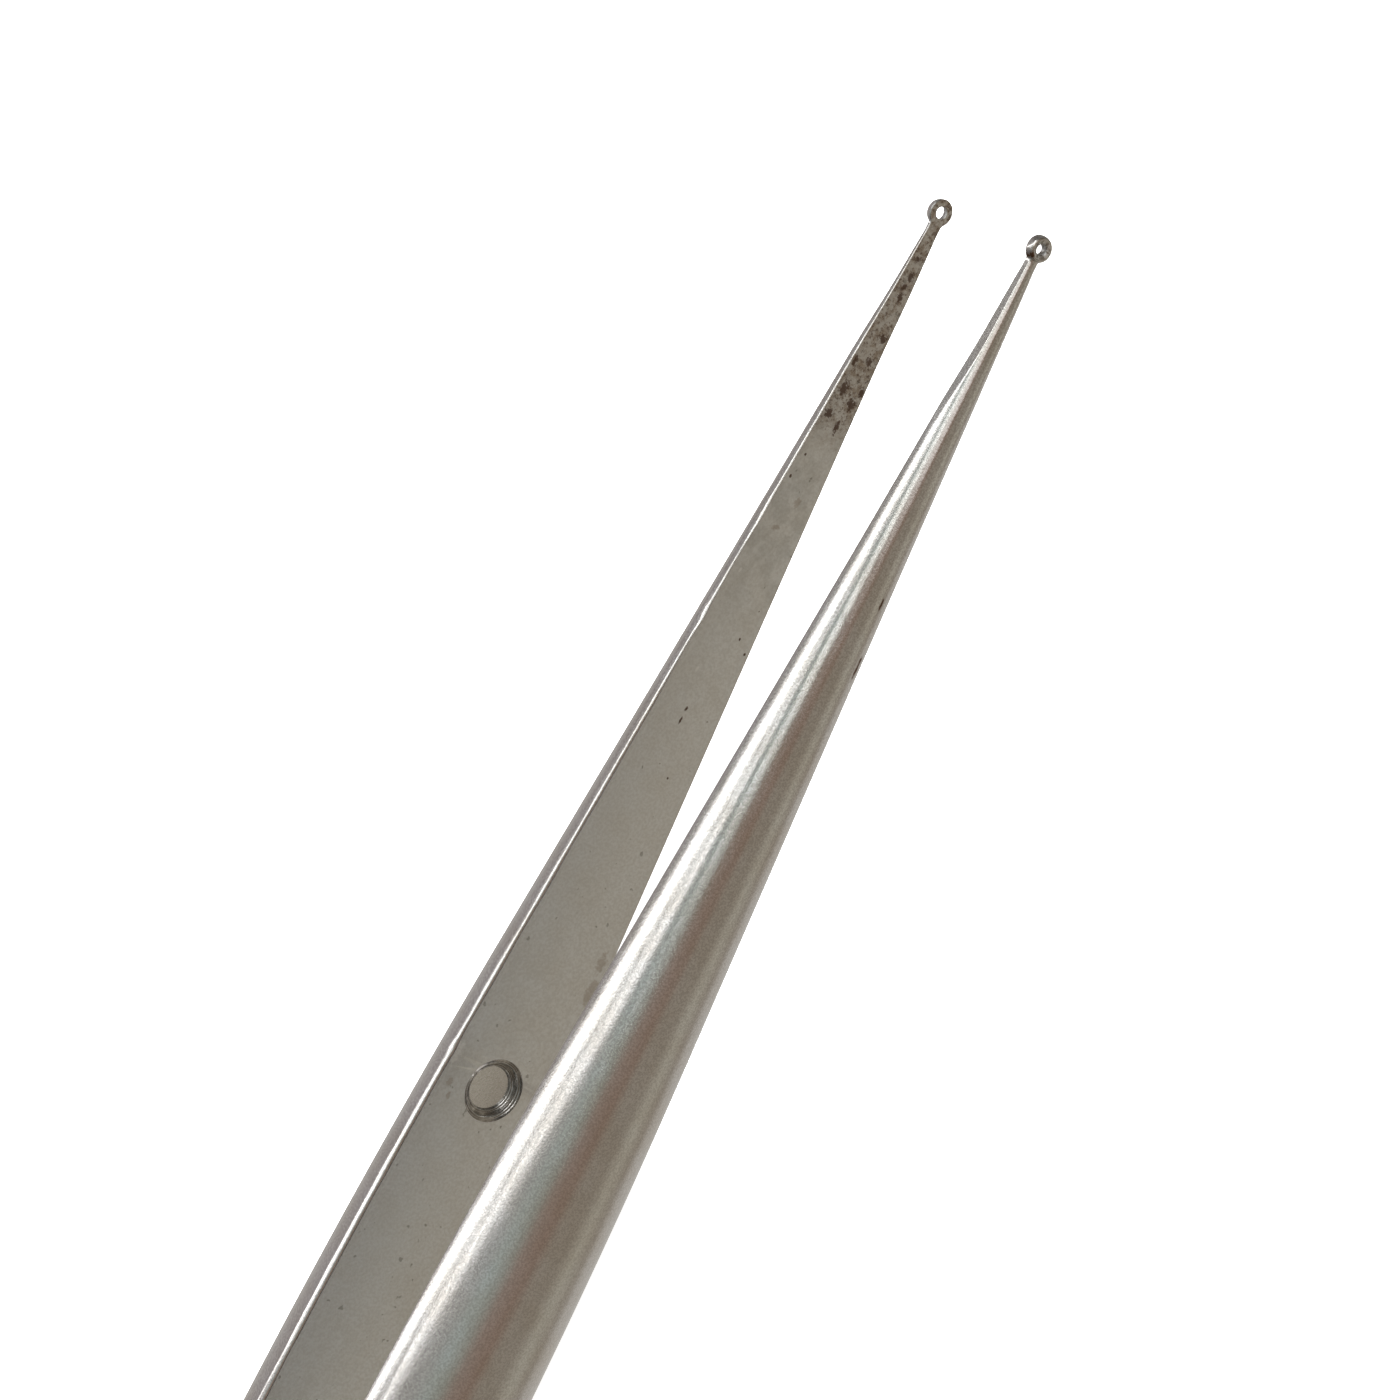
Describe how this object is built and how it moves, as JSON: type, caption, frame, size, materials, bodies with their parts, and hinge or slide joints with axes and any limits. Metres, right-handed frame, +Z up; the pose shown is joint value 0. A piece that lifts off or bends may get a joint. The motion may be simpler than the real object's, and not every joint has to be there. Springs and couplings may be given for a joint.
{
  "type": "ring-tip micro forceps",
  "caption": "Slim spring forceps with half-round steel arms that taper to small ring tips, for holding very small, soft or slippery things.",
  "frame": {"origin": "on the surface that the forceps lie on, under the middle of their length and width", "axes": "+X towards the ring tips, +Y towards the left arm, +Z up, with the arms opening sideways in the XY plane"},
  "size_m": [0.18, 0.0168, 0.009],
  "materials": {
    "arm_steel": "satin ground, fine lengthwise grain, stained near the tips",
    "stud_steel": "turned and polished",
    "spring_steel": "satin, fine lengthwise grain",
    "tail_steel": "satin ground",
    "rivet_steel": "dressed flush and satin ground"
  },
  "bodies": {
    "tail": {"tail_left_cheek": "tail_steel", "tail_right_cheek": "tail_steel", "tail_spacer": "tail_steel", "tail_rivets": "rivet_steel", "left_leaf": "spring_steel", "right_leaf": "spring_steel"},
    "left_arm": {"left_arm": "arm_steel", "left_leaf_rivets": "rivet_steel"},
    "right_arm": {"right_arm": "arm_steel", "right_leaf_rivets": "rivet_steel", "stop_stud": "stud_steel"}
  },
  "joints": [
    {"name": "left_arm_flex", "type": "hinge", "parent": "tail", "child": "left_arm", "pos_m": [-0.04275, 0.00271, 0.0045], "axis": [0, 0, -1], "range_deg": [0, 1.89], "stiffness_Nm_per_rad": 1.4, "deforming": ["left_leaf"]},
    {"name": "right_arm_flex", "type": "hinge", "parent": "tail", "child": "right_arm", "pos_m": [-0.04275, -0.00271, 0.0045], "axis": [0, 0, 1], "range_deg": [0, 1.89], "stiffness_Nm_per_rad": 1.4, "deforming": ["right_leaf"]}
  ]
}
